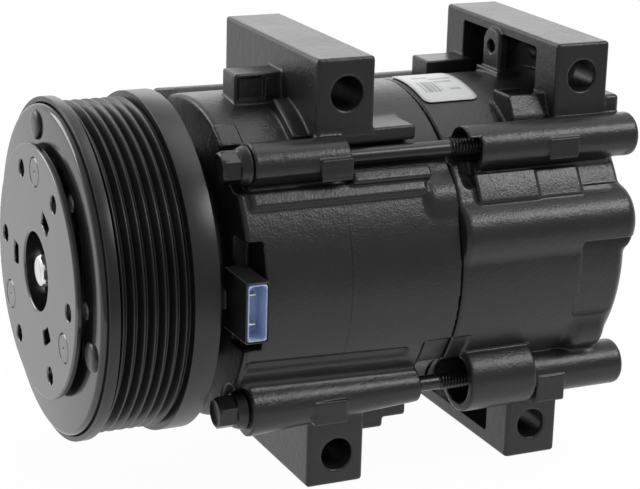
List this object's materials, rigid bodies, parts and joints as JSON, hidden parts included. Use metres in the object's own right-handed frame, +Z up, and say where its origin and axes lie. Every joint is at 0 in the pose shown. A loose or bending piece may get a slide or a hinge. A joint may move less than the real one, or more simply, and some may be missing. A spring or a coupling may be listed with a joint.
{
  "type": "automotive air conditioning compressor",
  "caption": "Belt-driven swash-plate air conditioning compressor with a multi-rib pulley, electromagnetic clutch, cross-drilled mounting lugs and a coil connector.",
  "frame": {"origin": "middle of the bounding box, at the height of the flat undersides of the lower lugs", "axes": "+X along the shaft from the clutch to the rear head, +Z up through the upper lugs, -Y the side with the coil connector"},
  "size_m": [0.203, 0.124, 0.1495],
  "materials": {
    "cast_black": "semi-gloss black paint over cast aluminium",
    "black_paint": "satin black paint over steel",
    "dark_steel": "blackened steel",
    "steel": "ground steel",
    "aluminium": "machined aluminium",
    "rubber": "matt black rubber",
    "resin": "potting resin over copper wire",
    "black_plastic": "moulded black plastic",
    "blue_plastic": "moulded pale blue plastic",
    "label": "bare white film"
  },
  "bodies": {
    "casing": {"front_housing": "cast_black", "rear_housing": "cast_black", "through_bolt_1": "dark_steel", "through_bolt_2": "dark_steel", "through_bolt_3": "dark_steel", "through_bolt_4": "dark_steel", "field_coil_core": "dark_steel", "field_coil_winding": "resin", "front_cylinder_block": "aluminium", "rear_cylinder_block": "aluminium", "front_valve_plate": "steel", "rear_valve_plate": "steel", "seal_retaining_ring": "steel", "shaft_seal": "rubber", "housing_seal_ring": "rubber", "connector_shell": "black_plastic", "connector_insert": "blue_plastic", "connector_terminal_1": "steel", "connector_terminal_2": "steel", "label": "label", "front_radial_bearing": "steel", "rear_radial_bearing": "steel", "front_thrust_bearing": "steel", "rear_thrust_bearing": "steel", "bearing_inner_ring": "steel", "bearing_snap_ring": "steel", "coil_snap_ring": "steel"},
    "belt_pulley": {"pulley": "black_paint", "bearing_outer_ring": "steel"},
    "ball_cage": {"bearing_ball_cage": "steel"},
    "rotor": {"drive_shaft": "steel", "swash_plate": "steel", "hub_plate": "black_paint", "hub_bolt": "steel", "leaf_spring_1": "steel", "leaf_spring_2": "steel", "leaf_spring_3": "steel", "hub_rivet_1": "dark_steel", "hub_rivet_2": "dark_steel", "hub_rivet_3": "dark_steel"},
    "clutch_armature": {"armature_plate": "black_paint"},
    "piston_set_1": {"piston_1": "aluminium", "front_shoe_1": "steel", "rear_shoe_1": "steel"},
    "piston_set_2": {"piston_2": "aluminium", "front_shoe_2": "steel", "rear_shoe_2": "steel"},
    "piston_set_3": {"piston_3": "aluminium", "front_shoe_3": "steel", "rear_shoe_3": "steel"},
    "piston_set_4": {"piston_4": "aluminium", "front_shoe_4": "steel", "rear_shoe_4": "steel"},
    "piston_set_5": {"piston_5": "aluminium", "front_shoe_5": "steel", "rear_shoe_5": "steel"}
  },
  "joints": [
    {"name": "pulley_spin", "type": "hinge", "parent": "casing", "child": "belt_pulley", "pos_m": [0, 0.00396, 0.0755], "axis": [1, 0, 0], "continuous": true},
    {"name": "cage_spin", "type": "hinge", "parent": "casing", "child": "ball_cage", "pos_m": [0, 0.00396, 0.0755], "axis": [1, 0, 0], "continuous": true},
    {"name": "shaft_spin", "type": "hinge", "parent": "casing", "child": "rotor", "pos_m": [0, 0.00396, 0.0755], "axis": [1, 0, 0], "continuous": true},
    {"name": "armature_slide", "type": "slide", "parent": "rotor", "child": "clutch_armature", "axis": [1, 0, 0], "range_m": [0, 0.0005], "stiffness_N_per_m": 4000},
    {"name": "piston_1_slide", "type": "slide", "parent": "casing", "child": "piston_set_1", "axis": [1, 0, 0], "range_m": [-0.00978, 0.00978]},
    {"name": "piston_2_slide", "type": "slide", "parent": "casing", "child": "piston_set_2", "axis": [1, 0, 0], "range_m": [-0.00978, 0.00978]},
    {"name": "piston_3_slide", "type": "slide", "parent": "casing", "child": "piston_set_3", "axis": [1, 0, 0], "range_m": [-0.00978, 0.00978]},
    {"name": "piston_4_slide", "type": "slide", "parent": "casing", "child": "piston_set_4", "axis": [1, 0, 0], "range_m": [-0.00978, 0.00978]},
    {"name": "piston_5_slide", "type": "slide", "parent": "casing", "child": "piston_set_5", "axis": [1, 0, 0], "range_m": [-0.00978, 0.00978]}
  ],
  "couplings": [
    {"joint": "cage_spin", "follows": "pulley_spin", "ratio": 0.5502}
  ]
}
